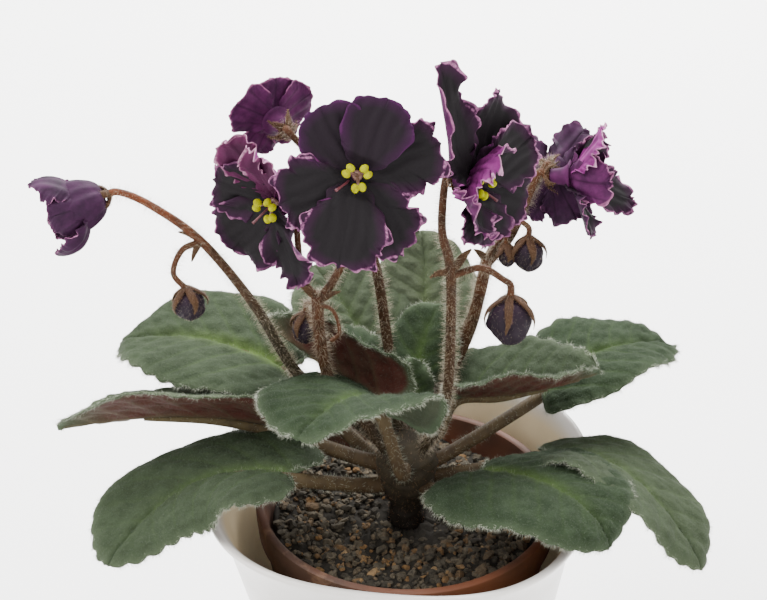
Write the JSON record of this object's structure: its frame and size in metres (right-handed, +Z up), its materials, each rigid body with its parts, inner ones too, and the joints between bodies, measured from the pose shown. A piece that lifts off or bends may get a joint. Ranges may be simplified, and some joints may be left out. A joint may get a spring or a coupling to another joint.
{
  "type": "potted african violet",
  "caption": "African violet rosette with ruffled dark purple blooms and nodding buds, in a brown grow pot inside a wider white pot.",
  "frame": {"origin": "middle of the outer pot's flat underside", "axes": "+Z up; -Y is the side that faces the viewer, +X to the viewer's right"},
  "size_m": [0.1916, 0.1127, 0.2288],
  "materials": {
    "white_pot": "smooth white glaze",
    "brown_pot": "matt terracotta brown",
    "mix": "loose dark potting mix",
    "crown": "dull, soft plant stem",
    "leaf": "velvety, hairy grey-green",
    "stalk": "dull brown with pale hairs",
    "petal": "velvety dark purple",
    "anther": "dull yellow"
  },
  "bodies": {
    "root": {"outer_pot": "white_pot", "grow_pot": "brown_pot", "potting_mix": "mix", "crown": "crown", "stalk_left": "stalk", "stalk_centre": "stalk", "stalk_back_left": "stalk", "stalk_right": "stalk", "stalk_right_back": "stalk", "stalk_right_far": "stalk", "leaf_front_left": "leaf", "leaf_left": "leaf", "leaf_front": "leaf", "leaf_front_right": "leaf", "leaf_right_low": "leaf", "leaf_right_far": "leaf", "leaf_right": "leaf", "leaf_left_back": "leaf", "leaf_back": "leaf", "leaf_back_left": "leaf", "leaf_heart_left": "leaf", "leaf_heart_back": "leaf", "leaf_heart": "leaf", "bloom_centre": "petal", "bloom_left": "petal", "bloom_back_left": "petal", "bloom_right": "petal", "bloom_right_back": "petal", "bloom_right_far": "petal", "stamens_centre": "anther", "stamens_left": "anther", "stamens_back_left": "anther", "stamens_right": "anther", "stamens_right_back": "anther", "stamens_right_far": "anther", "bud_half_open": "petal", "bud_left": "petal", "bud_centre": "petal", "bud_right": "petal", "bud_right_back": "petal", "bud_right_small": "petal"}
  },
  "joints": []
}
